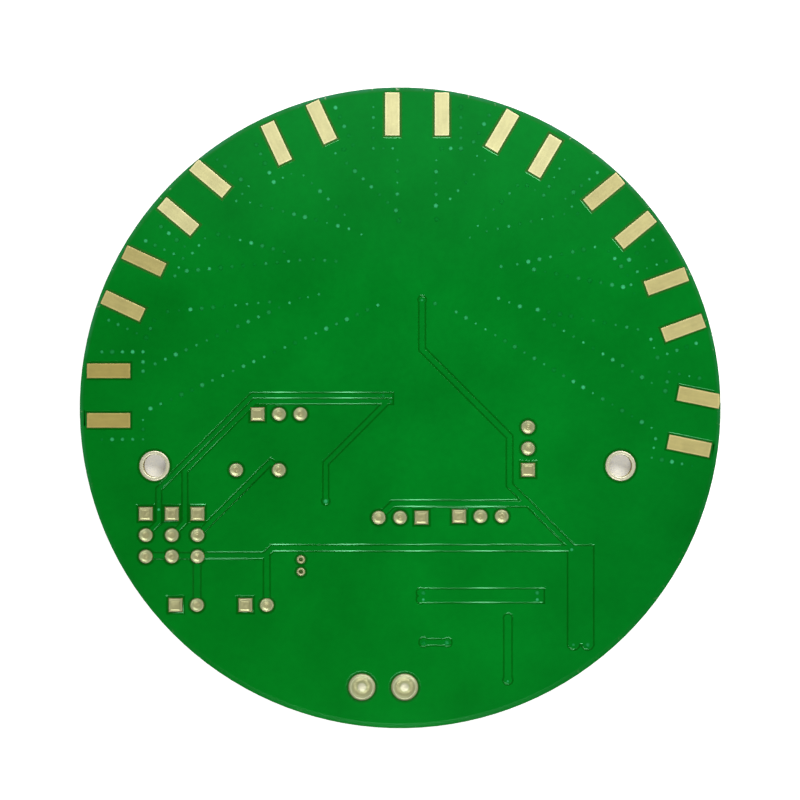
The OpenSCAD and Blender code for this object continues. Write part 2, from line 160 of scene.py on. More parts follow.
def ramp(tree, factor, stops):
    node = add(tree, "ShaderNodeValToRGB", {"Fac": factor})
    ends = node.color_ramp.elements
    while len(ends) < len(stops):
        ends.new(0.5)
    for end, (place, colour) in zip(ends, stops):
        end.position = place
        end.color = (*colour, 1.0)
    return node.outputs["Color"]


def blend(tree, factor, a, b, mode="MIX"):
    node = add(tree, "ShaderNodeMix", data_type="RGBA", blend_type=mode)
    for socket, value in ((node.inputs[0], factor), (node.inputs[6], a), (node.inputs[7], b)):
        if isinstance(value, bpy.types.NodeSocket):
            tree.links.new(value, socket)
        elif isinstance(value, tuple):
            socket.default_value = (*value, 1.0)
        else:
            socket.default_value = value
    return node.outputs[2]


def clouded(tree, noise, dark, light):
    """A colour that drifts between two as the noise does."""
    return ramp(tree, noise, [(NOISE_LOW, dark), (NOISE_HIGH, light)])


def waver(tree, noise, low, high):
    """A value that drifts from low to high as the noise does."""
    return span(tree, noise, NOISE_LOW, NOISE_HIGH, low, high)


def tinted(tree, colour, by):
    return blend(tree, 1.0, colour, by, "MULTIPLY")


def bump(tree, height, distance, strength):
    return add(tree, "ShaderNodeBump", {
        "Height": height, "Distance": distance, "Strength": strength}).outputs["Normal"]


print("noise runs from", NOISE_LOW, "to", NOISE_HIGH)

# %% [markdown]
# ### The green of the film
# Solder mask is a film of clear green lacquer, so its colour is that of the copper under it
# seen through green. On a real board it is never even: it is cloudy, and the light gives one
# corner a paler, bluer green and another a deeper one. A few wide gradients paint that light
# and shade into the colour: paler towards the top right, deeper towards the bottom left,
# darker at the sides and at the lower right, a little brighter at the bottom, and a painted
# sheen that adds a pale haze towards the top.

# %% Film over copper
FILM_DEEP = (0.0002, 0.184, 0.0112)
FILM_PALE = (0.0004, 0.235, 0.0157)
# The colour added towards the top is a painted sheen, and the wide gradients below paint light
# and shade.
FILM_SHEEN = (0.0042, 0.014, 0.011)
CORNER_DRIFT = [(0.0, (0.9, 0.92, 0.8)), (0.5, (1.0, 0.98, 1.0)), (1.0, (2.2, 1.04, 1.15))]
CORNERS = (-50 * MM, 50 * MM)
SIDES = (10 * MM, 33 * MM)
FOOT = (-33 * MM, -5 * MM)
LEE = (42 * MM, 70 * MM)
LEE_SLANT = 1.6
SHEEN_RISES = (14 * MM, 38 * MM)


def film_green(tree, at, place):
    across, up = place.outputs["X"], place.outputs["Y"]
    green = clouded(tree, cloud(tree, at, 90, 4.0, 0.55), FILM_DEEP, FILM_PALE)
    corner = span(tree, maths(tree, "ADD", across, up), *CORNERS, 0.0, 1.0)
    green = tinted(tree, green, ramp(tree, corner, CORNER_DRIFT))
    sideways = maths(tree, "ABSOLUTE", across)
    green = tinted(tree, green, span(tree, sideways, *SIDES, 1.0, 0.94))
    green = tinted(tree, green, span(tree, up, *FOOT, 1.1, 1.0))
    grain = cloud(tree, at, 1400, 2.0, 0.6)
    green = tinted(tree, green, waver(tree, grain, 0.965, 1.035))
    slant = maths(tree, "SUBTRACT", maths(tree, "MULTIPLY", across, LEE_SLANT), up)
    green = tinted(tree, green, span(tree, slant, *LEE, 1.0, 0.84))
    return blend(tree, span(tree, up, *SHEEN_RISES, 0.0, 1.0), green, FILM_SHEEN, "ADD")


print("film green from", FILM_DEEP, "to", FILM_PALE)

# %% [markdown]
# ### The lacquer in full
# Over bare laminate the film looks darker and browner, so the mesh carries an attribute,
# over_copper, and the colour follows it. The rim of the board is scuffed and chipped from the
# saw, and the scuffed colour is also a painted sheen of the rounded edge, spread more towards
# the top of the board. The surface is glossy with a faint orange peel, and a second attribute,
# dull, takes a little of the gloss away where the film is worn or has met flux.

# %% Solder mask finish
LAMINATE_TINT = (0.8, 0.62, 0.33)
LAMINATE_BETWEEN_PADS = (0.034, 0.17, 0.022)
# The scuffed colour is partly wear and partly a painted sheen along the rim, stronger towards the
# top.
SCUFF_AND_SHEEN = (0.04, 0.25, 0.105)
CHIPPED = (0.50, 0.58, 0.40)
PAD_ZONE = (board_r - 9 * MM, board_r - 5.5 * MM)
UPPER_PADS = (6 * MM, 26 * MM)
GREEN_MARGIN = (board_r - 0.8 * MM, board_r - 0.6 * MM)
WORN_EDGE = (board_r - 0.5 * MM, board_r - 0.12 * MM)
SHEEN_GROWS_UP = (-20 * MM, board_r)
GLOSSY = 0.07
DULL = 0.16


def film_over_laminate(tree, green, up, radius):
    """Dark, but for a paler ring between the upper pads and a plain green margin at the rim."""
    ring = span(tree, radius, *PAD_ZONE, 0.0, 1.0)
    upper = span(tree, up, *UPPER_PADS, 0.0, 1.0)
    bare = tinted(tree, green, LAMINATE_TINT)
    bare = blend(tree, maths(tree, "MULTIPLY", ring, upper), bare, LAMINATE_BETWEEN_PADS)
    return blend(tree, span(tree, radius, *GREEN_MARGIN, 0.0, 0.8), bare, green)


def rim_wear_and_sheen(tree, at, colour, up, radius):
    """Scuffs and chips along the rim, whose pale colour is also a painted sheen that grows
    towards the top of the board.
    """
    edge = span(tree, radius, *WORN_EDGE, 0.0, 1.0)
    wear_and_sheen = maths(tree, "MULTIPLY", edge, span(tree, up, *SHEEN_GROWS_UP, 0.1, 1.0))
    scuff = span(tree, cloud(tree, at, 350, 4.0, 0.6), 0.4, 0.62, 0.35, 1.0)
    colour = blend(tree, maths(tree, "MULTIPLY", wear_and_sheen, scuff), colour, SCUFF_AND_SHEEN)
    flake = span(tree, cloud(tree, at, 1300, 3.0, 0.6), 0.64, 0.7, 0.0, 1.0)
    return blend(tree, maths(tree, "MULTIPLY", wear_and_sheen, flake), colour, CHIPPED)


def mask_finish():
    mat, tree, shader = new_finish("solder_mask_lacquer")
    at = object_coords(tree)
    place = add(tree, "ShaderNodeSeparateXYZ", {"Vector": at})
    up, radius = place.outputs["Y"], from_middle(tree, place)
    green = film_green(tree, at, place)
    bare = film_over_laminate(tree, green, up, radius)
    colour = blend(tree, attribute(tree, "over_copper"), bare, green)
    colour = rim_wear_and_sheen(tree, at, colour, up, radius)
    tree.links.new(colour, shader.inputs["Base Color"])
    roughness = span(tree, attribute(tree, "dull"), 0.0, 1.0, GLOSSY, DULL)
    tree.links.new(roughness, shader.inputs["Roughness"])
    shader.inputs["Specular IOR Level"].default_value = 0.8
    shader.inputs["Specular Tint"].default_value = (0.3, 1.0, 0.52, 1.0)
    peel = cloud(tree, at, 700, 2.0, 0.5)
    tree.links.new(bump(tree, peel, 0.01 * MM, 0.1), shader.inputs["Normal"])
    return mat


mask_lacquer = mask_finish()
print("finish:", mask_lacquer.name)

# %% [markdown]
# ### Plated pads
# The edge pads have pale gold plating. How bright each pad is drawn is painted reflection:
# each pad's mesh carries its own number, from a shaded brown to a lit gold, brightest on the
# pads at the top of the board. The plating is brushed along the pad, which the attributes along
# and across tell, and kerb is high in a border that the finish paints brighter, a painted
# highlight. All metals here share one slightly uneven satin surface.

# %% Pad finish
# The brown and the gold are the two ends of a painted reflection: how much light each pad gives
# back.
SHADED_GOLD = (0.475, 0.384, 0.104)
LIT_GOLD = (0.90, 0.855, 0.432)
# A painted highlight along each pad's border.
BORDER_HIGHLIGHT = [(0.0, (0.975, 0.975, 0.965)), (0.3, (0.985, 0.985, 0.98)),
               (0.6, (1.12, 1.12, 1.16)), (1.0, (1.22, 1.22, 1.3))]
STROKE_STRETCH = 0.12
SATIN_SPREAD = 0.06


def satin(tree, shader, at, roughness, peel):
    speckle = cloud(tree, at, 5000, 2.0, 0.5)
    uneven = waver(tree, speckle, roughness - SATIN_SPREAD, roughness + SATIN_SPREAD)
    tree.links.new(uneven, shader.inputs["Roughness"])
    rough = cloud(tree, at, 2500, 3.0, 0.6)
    tree.links.new(bump(tree, rough, peel, 0.5), shader.inputs["Normal"])


def pad_finish():
    mat, tree, shader = new_finish("pale_gold_plating")
    at = object_coords(tree)
    colour = blend(tree, attribute(tree, "pad_light"), SHADED_GOLD, LIT_GOLD)
    patchy = waver(tree, cloud(tree, at, 500, 4.0, 0.6), 0.9, 1.08)
    colour = tinted(tree, colour, patchy)
    slow = maths(tree, "MULTIPLY", attribute(tree, "along"), STROKE_STRETCH)
    strokes = add(tree, "ShaderNodeCombineXYZ", {
        "X": slow, "Y": attribute(tree, "across")}).outputs[0]
    brushed = waver(tree, cloud(tree, strokes, 2600, 3.0, 0.6), 0.955, 1.055)
    colour = tinted(tree, colour, brushed)
    colour = tinted(tree, colour, ramp(tree, attribute(tree, "kerb"), BORDER_HIGHLIGHT))
    tree.links.new(colour, shader.inputs["Base Color"])
    shader.inputs["Metallic"].default_value = 0.3
    satin(tree, shader, at, 0.42, 0.01 * MM)
    return mat


pad_gold = pad_finish()
print("finish:", pad_gold.name)

# %% [markdown]
# ### Solder and copper
# Old solder is dull and tan where it has sunk into its hole. Its raised rim is painted paler,
# a painted sheen where it faces the lamps, and one attribute goes from 0 to 1 between those and
# on to 2 for a bright painted highlight. The copper under the mask is bare and hardly shows.

# %% Solder and copper finishes
SUNK_DARK = (0.384, 0.362, 0.168)
SUNK_LIGHT = (0.49, 0.463, 0.223)
# The paler rim colour and the bright colour are painted sheen and highlight on the solder.
RIM_SOLDER = (0.455, 0.495, 0.255)
BRIGHT_SOLDER = (0.72, 0.70, 0.49)
COPPER_DARK = (0.50, 0.27, 0.12)
COPPER_LIGHT = (0.62, 0.36, 0.18)


def solder_finish():
    mat, tree, shader = new_finish("dull_solder")
    at = object_coords(tree)
    tone_and_sheen = attribute(tree, "tone_and_sheen")
    colour = clouded(tree, cloud(tree, at, 700, 4.0, 0.6), SUNK_DARK, SUNK_LIGHT)
    colour = blend(tree, tone_and_sheen, colour, RIM_SOLDER)
    colour = blend(tree, span(tree, tone_and_sheen, 1.0, 2.0, 0.0, 1.0), colour, BRIGHT_SOLDER)
    tree.links.new(colour, shader.inputs["Base Color"])
    shader.inputs["Metallic"].default_value = 0.4
    satin(tree, shader, at, 0.36, 0.006 * MM)
    return mat


def copper_finish():
    mat, tree, shader = new_finish("bare_copper")
    at = object_coords(tree)
    colour = clouded(tree, cloud(tree, at, 500, 4.0, 0.6), COPPER_DARK, COPPER_LIGHT)
    tree.links.new(colour, shader.inputs["Base Color"])
    shader.inputs["Metallic"].default_value = 1.0
    satin(tree, shader, at, 0.4, 0.01 * MM)
    return mat


solder_dull = solder_finish()
bare_copper = copper_finish()
print("finishes:", solder_dull.name, bare_copper.name)

# %% [markdown]
# ### Laminate
# The laminate is woven glass in resin. At the rim its plies show as fine level bands, made by
# a wave texture along Z. On its flat faces it shows only in the thin strip round each land,
# which is painted a dark green: partly the laminate's own dark tone under the green lacquer,
# partly painted shade in that narrow strip. So the colour there follows the face's direction.

# %% Laminate finish
PLY_DARK = (0.06, 0.075, 0.014)
PLY_LIGHT = (0.12, 0.125, 0.032)
# Partly the laminate's own dark tone, partly painted shade in the strip round each land.
STRIP_TONE_AND_SHADE = (0.032, 0.16, 0.02)
STRIP_SHADE_BETWEEN_PADS = (0.058, 0.13, 0.016)
STRIP_SHADE_ZONE = (board_r - 9 * MM, board_r - 7 * MM)
PLIES_PER_METRE = 1900.0


def laminate_finish():
    mat, tree, shader = new_finish("glass_fibre_laminate")
    at = object_coords(tree)
    plies = add(tree, "ShaderNodeTexWave", {
        "Vector": at, "Scale": PLIES_PER_METRE, "Distortion": 3.0, "Detail": 2.0,
        "Detail Scale": 2.0}, bands_direction="Z").outputs["Fac"]
    strands = cloud(tree, at, 2600, 3.0, 0.6)
    colour = ramp(tree, plies, [(0.2, PLY_DARK), (0.8, PLY_LIGHT)])
    colour = tinted(tree, colour, waver(tree, strands, 0.8, 1.2))
    normal = add(tree, "ShaderNodeNewGeometry").outputs["Normal"]
    facing = add(tree, "ShaderNodeSeparateXYZ", {"Vector": normal}).outputs["Z"]
    level = span(tree, maths(tree, "ABSOLUTE", facing), 0.4, 0.6, 0.0, 1.0)
    radius = from_middle(tree, add(tree, "ShaderNodeSeparateXYZ", {"Vector": at}))
    outer = span(tree, radius, *STRIP_SHADE_ZONE, 0.0, 1.0)
    colour = blend(tree, level, colour, blend(tree, outer, STRIP_TONE_AND_SHADE, STRIP_SHADE_BETWEEN_PADS))
    tree.links.new(colour, shader.inputs["Base Color"])
    shader.inputs["Roughness"].default_value = 0.62
    tree.links.new(bump(tree, strands, 0.02 * MM, 0.6), shader.inputs["Normal"])
    return mat


laminate_bare = laminate_finish()
print("finish:", laminate_bare.name)

# %% [markdown]
# ### Finishes on the CAD pieces
# Every CAD piece names its material slot, and one table turns that into a finish. The coaxial
# lines are plated like the pads, which they run into under the board.

# %% Finishes on the CAD pieces
FINISH_OF_SLOT = {"laminate": laminate_bare, "mask": mask_lacquer, "copper": bare_copper,
                  "pad_metal": pad_gold, "solder": solder_dull}
slot_of = {s["node"]: s["material_slot"] for s in frame["record"]["subparts"]}
for name, piece in nodes.items():
    plated = name.startswith("line_")
    piece.data.materials.clear()
    piece.data.materials.append(pad_gold if plated else FINISH_OF_SLOT[slot_of[name]])
print("dressed", len(nodes), "CAD pieces")

# %% [markdown]
# ## From CAD mesh to finished piece
# A remade piece starts as a copy of its CAD mesh with doubled points merged, and ends the same
# way each time: it gets its finish, smooth shading up to a sharp angle and its place on the
# root body, and the CAD node that it replaces is hidden. Level faces stay flat, so that a
# mirror-like surface does not seem to bulge between its edges.

# %% Mesh helpers
MERGE = 0.0002 * MM
LEVEL_NORMAL = 0.99999


def merged_copy(node):
    bm = bmesh.new()
    bm.from_mesh(nodes[node].data)
    bmesh.ops.remove_doubles(bm, verts=bm.verts, dist=MERGE)
    return bm


def plain_object(name, mesh):
    thing = bpy.data.objects.new(name, mesh)
    bpy.context.scene.collection.objects.link(thing)
    return thing


def mesh_of(name, bm):
    mesh = bpy.data.meshes.new(name)
    bm.to_mesh(mesh)
    bm.free()
    return mesh


def finish_piece(name, mesh, finish, replaced, smooth_angle):
    mesh.materials.clear()
    mesh.materials.append(finish)
    mesh.shade_smooth()
    mesh.set_sharp_from_angle(angle=math.radians(smooth_angle))
    for polygon in mesh.polygons:
        polygon.use_smooth = abs(polygon.normal.z) < LEVEL_NORMAL
    piece = plain_object(name, mesh)
    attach(piece, "root")
    if replaced:
        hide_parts(*replaced)
    print("%-24s %6d faces" % (name, len(mesh.polygons)))


# %% [markdown]
# ### Where the separate solids are
# A node such as the solder or the ground vias is one mesh of many separate solids. Walking from
# point to point along the edges gathers each solid, and its box then gives its middle, so that
# every place comes from the CAD and none is typed in.

# %% Separate solids
def separate(bm):
    """The vertices of each separate solid in a mesh."""
    left, groups = set(bm.verts), []
    for start in bm.verts:
        if start not in left:
            continue
        left.discard(start)
        group, waiting = [start], [start]
        while waiting:
            for edge in waiting.pop().link_edges:
                for vert in edge.verts:
                    if vert in left:
                        left.discard(vert)
                        group.append(vert)
                        waiting.append(vert)
        groups.append(group)
    return groups


def islands(node):
    """Lowest and highest corners of each separate solid in a CAD node."""
    bm = merged_copy(node)
    found = []
    for group in separate(bm):
        low = Vector([min(v.co[i] for v in group) for i in range(3)])
        high = Vector([max(v.co[i] for v in group) for i in range(3)])
        found.append((low, high))
    bm.free()
    return found


def centres(boxes):
    return [((low.x + high.x) / 2, (low.y + high.y) / 2) for low, high in boxes]


SOLDER_NODES = ("round_solder", "square_solder", "power_solder", "mounting_solder",
                "small_solder")
soldered = np.array([((low.x + high.x) / 2, (low.y + high.y) / 2, (high.x - low.x) / 2)
                     for node in SOLDER_NODES for low, high in islands(node)])
print("soldered lands", len(soldered))

# %% [markdown]
# ## The solder masks
# In CAD the film steps down over each gap in the copper with a square edge. Real lacquer flows,
# so its edge is a soft shoulder that catches the light. A copy of the CAD film loses its top
# faces and their little walls, and each open outline is then carried inwards and upwards in a
# few rings before the top is filled again. Every land and track keeps its place that way.
#
# Filling the top is the hard step, because it is one region with dozens of outlines. It is cut
# into triangles in the flat, and only those inside an odd number of outlines become faces.

# %% Outlines and filling
WITHIN_OUTLINE = 1
SAME_POINT = 1e-6


def loops_of(edges):
    """Closed loops of vertices along these boundary edges, each with the film on its left."""
    following = {}
    for edge in edges:
        face_loop = edge.link_loops[0]
        following.setdefault(face_loop.link_loop_next.vert, []).append(face_loop.vert)
    loops = []
    while following:
        start = next(iter(following))
        loop = [start]
        here = start
        while True:
            options = following[here]
            there = options.pop()
            if not options:
                del following[here]
            if there is start:
                break
            loop.append(there)
            here = there
        loops.append(loop)
    return loops


def fill_flat(bm, rings, outward, over):
    """Fills the flat region between these rings and leaves its holes open."""
    verts, edges = [], []
    for ring in rings:
        first = len(verts)
        verts += ring
        edges += [(first + k, first + (k + 1) % len(ring)) for k in range(len(ring))]
    flat = [v.co.xy / MM for v in verts]
    spots, _, triangles, sources, _, _ = delaunay_2d_cdt(
        flat, edges, [], WITHIN_OUTLINE, SAME_POINT)
    ends = np.array([(*flat[i], *flat[j]) for i, j in edges])
    x0, y0, x1, y1 = ends.T
    run = (x1 - x0) / np.where(y1 == y0, 1.0, y1 - y0)
    corner = [verts[source[0]] if source
              else bm.verts.new((spot.x * MM, spot.y * MM, verts[0].co.z))
              for spot, source in zip(spots, sources)]
    for vert in corner:
        vert[over] = 1.0
    filled = 0
    for triangle in triangles:
        x, y = sum((spots[i] for i in triangle), Vector((0, 0))) / 3
        crossed = ((y0 > y) != (y1 > y)) & (x0 + (y - y0) * run > x)
        picked = [corner[i] for i in triangle]
        if np.count_nonzero(crossed) % 2 and len(set(picked)) == 3:
            bm.faces.new(picked if outward > 0 else reversed(picked))
            filled += 1
    return filled


print("filling within", SAME_POINT, "mm")

# %% [markdown]
# ### Preparing the film
# The faces that a soft shoulder will replace go first. Long straight edges get a point near
# each end, so that a shoulder turns a corner in its last stretch only. Beside a soldered land
# and at the rim the real film hardly dips, so its floor is raised there. Such places have
# also lost some gloss, which the attribute, dull, tells the finish.

# %% Preparing the film
ON_LEVEL = 0.002 * MM
LONG_EDGE = 0.9 * MM
NEAR_CORNER = 0.2 * MM
HAZE_REACH = 0.5 * MM
RIM_WIDTH = 1 * MM
RIM_FILL = 1.0
LAND_FILL = 0.85


def at_rim(spot):
    return spot.xy.length > board_r - RIM_WIDTH


def dulled(spot):
    """1 where the lacquer has lost some gloss: worn at the rim, or hazed by flux at a land."""
    gaps = np.hypot(soldered[:, 0] - spot.x, soldered[:, 1] - spot.y) - soldered[:, 2]
    return float(gaps.min() < HAZE_REACH or at_rim(spot))


def open_top(bm, level, dip_level):
    """Removes the flat top and the little walls that lead down from it."""
    doomed = []
    for face in bm.faces:
        zs = [v.co.z for v in face.verts]
        flat_top = all(abs(z - level) < ON_LEVEL for z in zs)
        little_wall = (all(min(abs(z - level), abs(z - dip_level)) < ON_LEVEL for z in zs)
                       and max(zs) - min(zs) > ON_LEVEL)
        if flat_top or little_wall:
            doomed.append(face)
    bmesh.ops.delete(bm, geom=doomed, context="FACES")


def open_edges(bm):
    return [e for e in bm.edges if len(e.link_faces) == 1]


def split_long_edges(bm):
    for edge in [e for e in open_edges(bm) if e.calc_length() > LONG_EDGE]:
        for end in list(edge.verts):
            _, fresh = bmesh.utils.edge_split(edge, end, NEAR_CORNER / edge.calc_length())
            edge = max(fresh.link_edges, key=lambda e: e.calc_length())


def raise_dips(bm, level, dip_level):
    for vert in bm.verts:
        if abs(vert.co.z - dip_level) < ON_LEVEL and dulled(vert.co):
            vert.co.z += (level - dip_level) * (RIM_FILL if at_rim(vert.co) else LAND_FILL)


print("dips filled by %.0f%% at lands" % (LAND_FILL * 100))

# %% [markdown]
# ### The shoulder
# Each outline point moves across the film, at a right angle to the outline and a little
# further at a corner, while it rises on a cosine from the floor of the dip to the top. A very
# narrow level strip ends the rings, so that shading stays smooth up to the flat top.

# %% Soft-shouldered film
SHOULDER_RUN = 0.12 * MM
SHOULDER_START = 0.06 * MM
SHOULDER_STEPS = 5
LEVEL_STRIP = 0.01 * MM
LEAST_FOLD = 0.35


def ways_across(rim):
    """For each point of a rim, the way across the film, longer where the rim folds."""
    ways = []
    for k, vert in enumerate(rim):
        before = (vert.co - rim[k - 1].co).xy
        after = (rim[(k + 1) % len(rim)].co - vert.co).xy
        before = before.normalized() if before.length > 0 else after.normalized()
        after = after.normalized() if after.length > 0 else before
        side = Vector((-before.y - after.y, before.x + after.x))
        fold = max(LEAST_FOLD, (1 + before.dot(after)) / 2)
        ways.append(side.normalized() / math.sqrt(fold) if side.length > 0 else side)
    return ways


def shoulder(bm, rim, outward, level, over, haze):
    """Builds the rings from this rim up to the level, and returns the last one."""
    count = len(rim)
    ways = ways_across(rim)
    hazes = [dulled(vert.co) for vert in rim]
    for vert, way, dull in zip(rim, ways, hazes):
        vert.co.xy -= way * (SHOULDER_START * outward)
        vert[haze] = dull
    previous = rim
    for step in range(1, SHOULDER_STEPS + 2):
        t = min(step / SHOULDER_STEPS, 1)
        rise = 0.5 - math.cos(t * math.pi) / 2
        reach = t * SHOULDER_RUN + (LEVEL_STRIP if step > SHOULDER_STEPS else 0)
        ring = []
        for vert, way, dull in zip(rim, ways, hazes):
            spot = vert.co.xy + way * (reach * outward)
            fresh = bm.verts.new((spot.x, spot.y, vert.co.z + (level - vert.co.z) * rise))
            fresh[over] = rise
            fresh[haze] = dull if step <= SHOULDER_STEPS else 0.0
            ring.append(fresh)
        for k in range(count):
            quad = (previous[k], previous[(k + 1) % count], ring[(k + 1) % count], ring[k])
            bm.faces.new(quad)
        previous = ring
    return previous


def soft_mask(name, node, outward, level, dip_level):
    """The CAD film with soft shoulders. outward is 1 for the upper film and -1 for the lower."""
    bm = merged_copy(node)
    open_top(bm, level, dip_level)
    over = bm.verts.layers.float.new("over_copper")
    haze = bm.verts.layers.float.new("dull")
    split_long_edges(bm)
    raise_dips(bm, level, dip_level)
    rims = loops_of(open_edges(bm))
    crests = [shoulder(bm, rim, outward, level, over, haze) for rim in rims]
    filled = fill_flat(bm, crests, outward, over)
    print(node, "outlines", len(rims), "top faces", filled)
    bm.normal_update()
    finish_piece(name, mesh_of(name, bm), mask_lacquer, [node], smooth_angle=20)


DIP = 0.03 * MM
soft_mask("front_solder_mask", "front_mask", 1, mask_top, mask_top - DIP)
soft_mask("back_solder_mask", "back_mask", -1, 0.0, DIP)

# %% [markdown]
# ## Edge pads
# A real pad is etched and plated, so its edges are slightly round and glint. Each CAD pad is
# copied, its flat faces are merged, and a narrow bevel is cut along its edges. An inset on the
# top then holds the border that the finish paints brighter, a painted highlight, and each point
# learns how far along and across its pad it is, for the brush strokes. The list of pad levels
# goes clockwise from the left launch and paints how much light each pad reflects.

# %% Pads with rounded edges
PAD_EDGE = 0.04 * MM
PAD_KERB = 0.38 * MM
PAD_LEAST_AREA = 2 * MM * MM
FLAT_ANGLE = 1
CRISP_ANGLE = 35
LEVEL_FACE = 0.999
# Painted reflection: how bright each pad is drawn, brightest at the top of the board.
PAD_LIGHT_LEVELS = [0.0, 0.23, 0.83, 0.92, 1.0, 0.98, 0.53, 0.41, 0.27]
PAD_LIGHT_UNDERNEATH = 0.6


def ease_edges(bm):
    bmesh.ops.dissolve_limit(bm, angle_limit=math.radians(FLAT_ANGLE), verts=bm.verts,
                             edges=bm.edges)
    crisp = [e for e in bm.edges if len(e.link_faces) == 2
             and e.calc_face_angle() > math.radians(CRISP_ANGLE)]
    bmesh.ops.bevel(bm, geom=crisp, offset=PAD_EDGE, segments=2, profile=0.5,
                    affect="EDGES", clamp_overlap=True)


def mark_border(bm):
    tops = [f for f in bm.faces
            if abs(f.normal.z) > LEVEL_FACE and f.calc_area() > PAD_LEAST_AREA]
    kerb = bm.verts.layers.float.new("kerb")
    for vert in bm.verts:
        vert[kerb] = 1.0
    bmesh.ops.inset_individual(bm, faces=tops, thickness=PAD_KERB)
    for face in tops:
        for vert in face.verts:
            vert[kerb] = 0.0


def mark_strokes(bm):
    along, across = (bm.verts.layers.float.new(key) for key in ("along", "across"))
    for pad in separate(bm):
        middle = sum((vert.co for vert in pad), Vector()) / len(pad)
        ends = max((e for vert in pad for e in vert.link_edges), key=lambda e: e.calc_length())
        way = (ends.verts[1].co - ends.verts[0].co).xy.normalized()
        for vert in pad:
            offset = (vert.co - middle).xy
            vert[along], vert[across] = offset.dot(way), offset.cross(way)


def eased_pads(name, node, how_lit):
    bm = merged_copy(node)
    ease_edges(bm)
    mark_border(bm)
    pad_light = bm.verts.layers.float.new("pad_light")
    for vert in bm.verts:
        vert[pad_light] = how_lit
    mark_strokes(bm)
    finish_piece(name, mesh_of(name, bm), pad_gold, [node], smooth_angle=15)


for number, how_lit in enumerate(PAD_LIGHT_LEVELS, 1):
    eased_pads("edge_pads_%d" % number, "launch_%d_pads" % number, how_lit)
eased_pads("edge_pads_underneath", "back_launch_pads", PAD_LIGHT_UNDERNEATH)

# %% [markdown]
# ## Solder
# Molten solder fills each hole and wets the land up to its edge. As it cools, it shrinks into
# the hole and leaves a raised rim round a dish, sometimes with a bump or a pit in the middle.
# Each joint shape is made once from rings, and three attributes say how its points may move:
# slack for random dents, dish for the depth of the dish and middle for the bump. A fourth
# carries the solder's tone and its painted sheen to the finish. A Geometry Nodes tree then sets
# one shape on every land, each with its own dish, bump and dents.

# %% Joint shapes
AROUND_JOINT = 48
JOINT_RINGS = 18
SQUARED_FROM = 0.3
SQUARED_WITHIN = 0.3
MIDDLE_REACH = 0.2


def joint_layers(bm):
    return [bm.verts.layers.float.new(n) for n in ("slack", "dish", "middle", "tone_and_sheen")]


def skin(bm, rings):
    """Faces between each ring and the next."""
    for upper, lower in zip(rings, rings[1:]):
        count = len(upper)
        for k in range(count):
            n = (k + 1) % count
            bm.faces.new((upper[k], upper[n], lower[n], lower[k]))


def shape_object(name, bm):
    bmesh.ops.recalc_face_normals(bm, faces=bm.faces)
    return plain_object(name, mesh_of(name, bm))


def joint_shape(name, radius, rise, profile, tone, corner, plug_r, plug_low):
    """Rings from the middle out. profile lists (share of radius, share of rise) and tone lists
    (share of radius, paleness). corner is 2 for a circle, and a higher number squares the outer
    rings. The last rings are the plug."""
    shares, rises = zip(*profile)
    pale_at, pale_by = zip(*tone)
    bm = bmesh.new()
    slack, dish, middle, tone_and_sheen = joint_layers(bm)
    crest = shares[rises.index(max(rises))]

    def ring(r, z, t):
        power = 2 + (corner - 2) * min(1, max(0, (t - SQUARED_FROM) / SQUARED_WITHIN))
        points = []
        for k in range(AROUND_JOINT):
            turn = 2 * math.pi * k / AROUND_JOINT
            c, s = math.cos(turn), math.sin(turn)
            stretch = (abs(c) ** power + abs(s) ** power) ** (-1 / power)
            vert = bm.verts.new((r * c * stretch, r * s * stretch, z))
            vert[slack] = max(0.0, 1 - t ** 4)
            vert[dish] = max(0.0, 1 - (t / crest) ** 2) ** 0.5
            vert[middle] = math.exp(-(t / MIDDLE_REACH) ** 2)
            vert[tone_and_sheen] = float(np.interp(t, pale_at, pale_by))
            points.append(vert)
        return points

    steps = [k / JOINT_RINGS for k in range(1, JOINT_RINGS + 1)]
    rings = [ring(radius * t, rise * float(np.interp(t, shares, rises)), t) for t in steps]
    rings += [ring(plug_r, z, 1.0) for z in (0.0, plug_low)]
    skin(bm, rings)
    top = bm.verts.new((0, 0, rise * rises[0]))
    top[slack], top[dish], top[middle], top[tone_and_sheen] = 1.0, 1.0, 1.0, pale_by[0]
    for k in range(AROUND_JOINT):
        bm.faces.new((top, rings[0][(k + 1) % AROUND_JOINT], rings[0][k]))
    bm.faces.new(list(reversed(rings[-1])))
    return shape_object(name, bm)


print("joint shapes have", JOINT_RINGS, "rings of", AROUND_JOINT)

# %% [markdown]
# ### A ring of solder
# The mounting holes and the small component holes stay open, and solder only beads on their
# lands. That shape is a closed profile turned round the hole.

# %% Ring shape
AROUND_RING = 64
RING_STEPS = 10


def ring_shape(name, inner, outer, rise, profile, tone):
    """A bead round an open hole. profile lists (share of the way outwards, share of rise)."""
    shares, rises = zip(*profile)
    bm = bmesh.new()
    slack, _, _, tone_and_sheen = joint_layers(bm)
    rings = []
    for k in range(RING_STEPS + 1):
        t = k / RING_STEPS
        r = inner + (outer - inner) * t
        z = rise * float(np.interp(t, shares, rises))
        points = []
        for m in range(AROUND_RING):
            turn = 2 * math.pi * m / AROUND_RING
            vert = bm.verts.new((r * math.cos(turn), r * math.sin(turn), z))
            vert[slack] = math.sin(math.pi * t)
            vert[tone_and_sheen] = tone
            points.append(vert)
        rings.append(points)
    skin(bm, rings + rings[:1])
    return shape_object(name, bm)


print("ring shapes have", RING_STEPS + 1, "rings of", AROUND_RING)

# %% [markdown]
# ### Helpers for Geometry Nodes
# A tree that sets one shape on many places keeps the repeats in one list of numbers. These
# helpers start a tree with its inputs, give each copy its own random number, end the tree, and
# run it on a cloud of points to leave a plain mesh.

